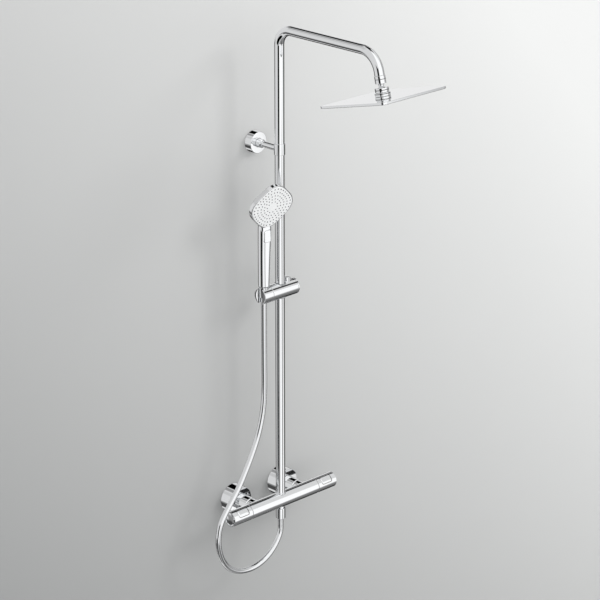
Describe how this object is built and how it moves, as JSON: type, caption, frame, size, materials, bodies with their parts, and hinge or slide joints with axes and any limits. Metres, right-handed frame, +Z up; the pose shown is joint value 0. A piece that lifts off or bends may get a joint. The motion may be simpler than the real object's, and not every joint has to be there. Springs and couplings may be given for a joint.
{
  "type": "thermostatic shower column",
  "caption": "Wall-mounted thermostatic bar mixer with a riser, a square overhead shower on a swivel arm, a sliding hand-shower holder, a hand shower and its hose.",
  "frame": {"origin": "on the wall, midway between the two water inlets, at the height of the mixer's axis", "axes": "+Z up along the riser, -Y out from the wall, X along the mixer"},
  "size_m": [0.3737, 0.5043, 1.302],
  "materials": {
    "chrome": "polished chrome plating",
    "chrome_on_plastic": "chrome-plated ABS",
    "rain_face": "polished chrome with rows of soft nozzles",
    "brass": "turned brass",
    "steel": "bright zinc-plated or stainless steel",
    "white_plastic": "white, satin gloss",
    "grey_plastic": "moulded acetal",
    "rubber": "soft rubber",
    "hose_silver": "silver spiral under a clear smooth sleeve"
  },
  "bodies": {
    "column": {"rose_left": "chrome", "rose_right": "chrome", "eccentric_union_left": "brass", "eccentric_union_right": "brass", "union_nut_left": "chrome", "union_nut_right": "chrome", "union_washer_left": "rubber", "union_washer_right": "rubber", "inlet_tail_left": "brass", "inlet_tail_right": "brass", "check_valve_left": "grey_plastic", "check_valve_right": "grey_plastic", "mixer_body": "chrome", "thermostat_cartridge": "brass", "flow_cartridge": "brass", "outlet_nipple": "chrome", "hose_washer": "rubber", "hose_nut": "chrome", "hose": "hose_silver", "riser_tube": "chrome", "coupling_sleeve": "brass", "coupling_seal": "rubber", "riser_ring": "chrome", "wall_flange": "chrome", "bracket_base": "steel", "bracket_screw_left": "steel", "bracket_screw_right": "steel", "bracket_stem": "chrome", "stem_grub_screw": "steel"},
    "temperature_handle": {"temperature_knob": "chrome", "temperature_spindle": "brass", "temperature_end_cap": "chrome", "safety_stop_button_spring": "steel"},
    "safety_stop": {"safety_stop_button": "chrome"},
    "flow_handle": {"flow_knob": "chrome", "flow_spindle": "brass", "flow_end_cap": "chrome", "eco_button_spring": "steel"},
    "eco_stop": {"eco_button": "chrome"},
    "arm": {"shower_arm": "chrome", "arm_end_nut": "chrome", "ball_stud": "chrome"},
    "head_tilt_part": {"ball_seat": "white_plastic"},
    "head_roll_part": {"swivel_nut": "chrome"},
    "rain_head": {"head_boss": "chrome", "head_top_shell": "chrome", "spray_plate": "rain_face", "nozzle_mat": "rubber"},
    "slider_sleeve": {"brake_sleeve": "grey_plastic"},
    "slider": {"slider_body": "chrome", "slider_end_cap": "chrome", "slider_button_spring": "steel"},
    "slider_release": {"slider_button": "chrome"},
    "holder": {"handset_holder": "chrome", "holder_pivot": "steel"},
    "hose_end": {"hose_cone_nut": "chrome"},
    "handset": {"handset_body": "chrome_on_plastic", "spray_face": "white_plastic", "select_button_spring": "steel"},
    "select": {"select_button": "chrome"}
  },
  "joints": [
    {"name": "arm_swivel", "type": "hinge", "parent": "column", "child": "arm", "pos_m": [0, -0.088, 0.86], "axis": [0, 0, 1], "range_deg": [-70, 70]},
    {"name": "head_tilt", "type": "hinge", "parent": "arm", "child": "head_tilt_part", "pos_m": [0, -0.40396, 1.05979], "axis": [1, 0, 0], "range_deg": [-12, 12]},
    {"name": "head_roll", "type": "hinge", "parent": "head_tilt_part", "child": "head_roll_part", "pos_m": [0, -0.40396, 1.05979], "axis": [0, -0.9711, 0.2385], "range_deg": [-12, 12]},
    {"name": "head_spin", "type": "hinge", "parent": "head_roll_part", "child": "rain_head", "pos_m": [0, -0.40396, 1.05979], "axis": [0, -0.2385, -0.9711], "continuous": true},
    {"name": "temperature_turn", "type": "hinge", "parent": "column", "child": "temperature_handle", "pos_m": [-0.133, -0.088, 0], "axis": [1, 0, 0], "range_deg": [-130, 45]},
    {"name": "safety_stop_press", "type": "slide", "parent": "temperature_handle", "child": "safety_stop", "axis": [0, 0.7071, -0.7071], "range_m": [0, 0.0015], "stiffness_N_per_m": 800, "springref_m": -0.001, "deforming": ["safety_stop_button_spring"]},
    {"name": "flow_turn", "type": "hinge", "parent": "column", "child": "flow_handle", "pos_m": [0.139, -0.088, 0], "axis": [1, 0, 0], "range_deg": [-85, 85]},
    {"name": "eco_press", "type": "slide", "parent": "flow_handle", "child": "eco_stop", "axis": [0, 0.7071, -0.7071], "range_m": [0, 0.0015], "stiffness_N_per_m": 800, "springref_m": -0.001, "deforming": ["eco_button_spring"]},
    {"name": "slider_slide", "type": "slide", "parent": "column", "child": "slider_sleeve", "axis": [0, 0, 1], "range_m": [-0.06, 0.26], "deforming": ["hose"]},
    {"name": "slider_swivel", "type": "hinge", "parent": "slider_sleeve", "child": "slider", "pos_m": [0, -0.088, 0.524], "axis": [0, 0, 1], "range_deg": [-45, 45], "deforming": ["hose"]},
    {"name": "slider_release_press", "type": "slide", "parent": "slider", "child": "slider_release", "axis": [0, 0, -1], "range_m": [0, 0.003], "stiffness_N_per_m": 600, "springref_m": -0.001, "deforming": ["slider_button_spring"]},
    {"name": "holder_tilt", "type": "hinge", "parent": "slider", "child": "holder", "pos_m": [-0.0494, -0.088, 0.524], "axis": [1, 0, 0], "range_deg": [-2.5, 25], "deforming": ["hose"]},
    {"name": "handset_lift", "type": "slide", "parent": "holder", "child": "hose_end", "axis": [0, 0, 1], "range_m": [0, 0.03], "deforming": ["hose"]},
    {"name": "handset_turn", "type": "hinge", "parent": "hose_end", "child": "handset", "pos_m": [-0.0505, -0.088, 0.545], "axis": [0, 0, 1], "range_deg": [-60, 5]},
    {"name": "select_press", "type": "slide", "parent": "handset", "child": "select", "axis": [0.1167, 0.9932, 0], "range_m": [0, 0.0012], "stiffness_N_per_m": 800, "springref_m": -0.001, "deforming": ["select_button_spring"]}
  ]
}
